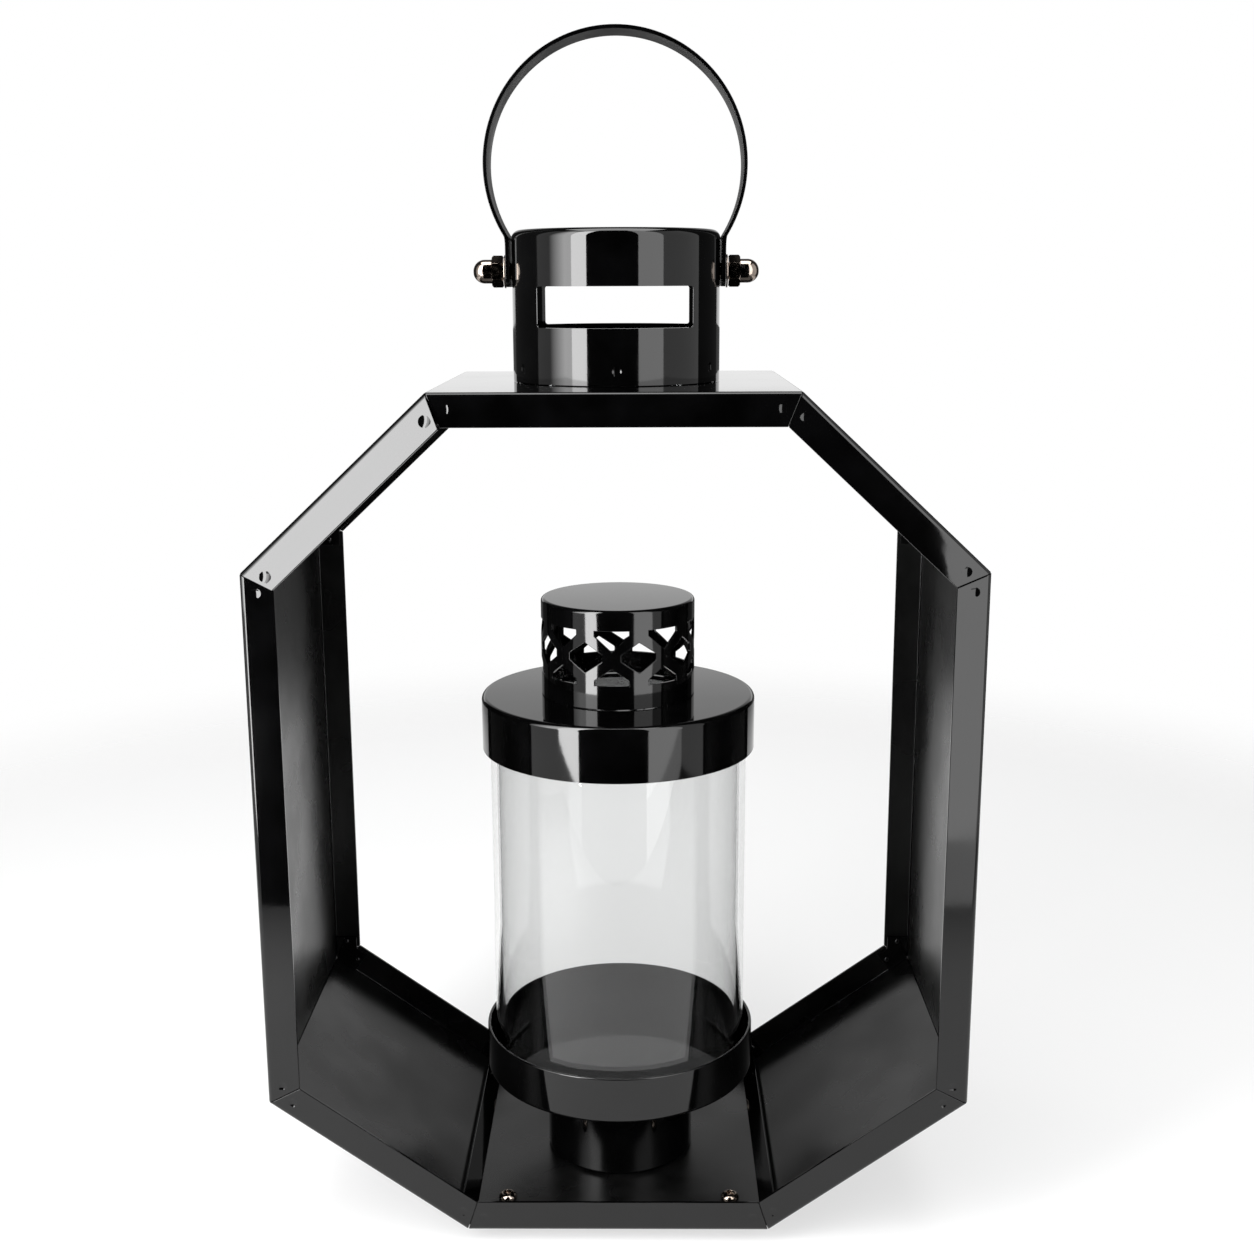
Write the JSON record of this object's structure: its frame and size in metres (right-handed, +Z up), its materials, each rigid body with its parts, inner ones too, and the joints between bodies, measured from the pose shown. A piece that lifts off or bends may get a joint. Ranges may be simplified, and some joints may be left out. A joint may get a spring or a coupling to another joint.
{
  "type": "candle lantern",
  "caption": "Octagonal sheet-steel candle lantern: open channel frame, glass cylinder on a pedestal cup, pierced lid, windowed collar and swinging strap handle.",
  "frame": {"origin": "on the standing surface, under the middle of the frame", "axes": "+X to the right seen from the front, front at -Y, +Z up"},
  "size_m": [0.258, 0.13, 0.4421],
  "materials": {
    "black_enamel": "gloss black baked enamel on sheet steel",
    "black_nickel": "polished black nickel plate",
    "zinc_plate": "bright zinc plate",
    "foot_rubber": "matt moulded rubber",
    "clear_glass": "clear polished tube"
  },
  "bodies": {
    "frame": {"panel_bottom": "black_enamel", "panel_lower_right": "black_enamel", "panel_right": "black_enamel", "panel_upper_right": "black_enamel", "panel_top": "black_enamel", "panel_upper_left": "black_enamel", "panel_left": "black_enamel", "panel_lower_left": "black_enamel", "corner_plate_front_bottom_left": "black_enamel", "corner_plate_back_bottom_left": "black_enamel", "corner_plate_front_bottom_right": "black_enamel", "corner_plate_back_bottom_right": "black_enamel", "corner_plate_front_low_right": "black_enamel", "corner_plate_back_low_right": "black_enamel", "corner_plate_front_high_right": "black_enamel", "corner_plate_back_high_right": "black_enamel", "corner_plate_front_top_right": "black_enamel", "corner_plate_back_top_right": "black_enamel", "corner_plate_front_top_left": "black_enamel", "corner_plate_back_top_left": "black_enamel", "corner_plate_front_high_left": "black_enamel", "corner_plate_back_high_left": "black_enamel", "corner_plate_front_low_left": "black_enamel", "corner_plate_back_low_left": "black_enamel", "collar": "black_enamel", "collar_seat_ring": "black_enamel", "pedestal": "black_enamel", "cup": "black_enamel", "foot_screw_front_left": "black_nickel", "foot_screw_front_right": "black_nickel", "foot_screw_back_left": "black_nickel", "foot_screw_back_right": "black_nickel", "pivot_screw_left": "black_nickel", "pivot_screw_right": "black_nickel", "pivot_washer_left": "black_nickel", "pivot_washer_right": "black_nickel", "cap_nut_left": "black_nickel", "cap_nut_right": "black_nickel", "collar_rivet_1": "zinc_plate", "collar_rivet_2": "zinc_plate", "collar_rivet_3": "zinc_plate", "collar_rivet_4": "zinc_plate", "weld_nut": "zinc_plate", "bolt_washer": "zinc_plate", "pedestal_bolt": "zinc_plate", "foot_front_left": "foot_rubber", "foot_front_right": "foot_rubber", "foot_back_left": "foot_rubber", "foot_back_right": "foot_rubber"},
    "handle": {"handle_strap": "black_enamel"},
    "glass": {"glass_cylinder": "clear_glass"},
    "lid": {"lid": "black_enamel", "chimney": "black_enamel"}
  },
  "joints": [
    {"name": "handle_swing", "type": "hinge", "parent": "frame", "child": "handle", "pos_m": [0, 0, 0.3573], "axis": [1, 0, 0], "range_deg": [-112, 112]},
    {"name": "glass_lift", "type": "slide", "parent": "frame", "child": "glass", "axis": [0, 0, 1], "range_m": [0, 0.03]},
    {"name": "lid_lift", "type": "slide", "parent": "glass", "child": "lid", "axis": [0, 0, 1], "range_m": [0, 0.04]}
  ]
}
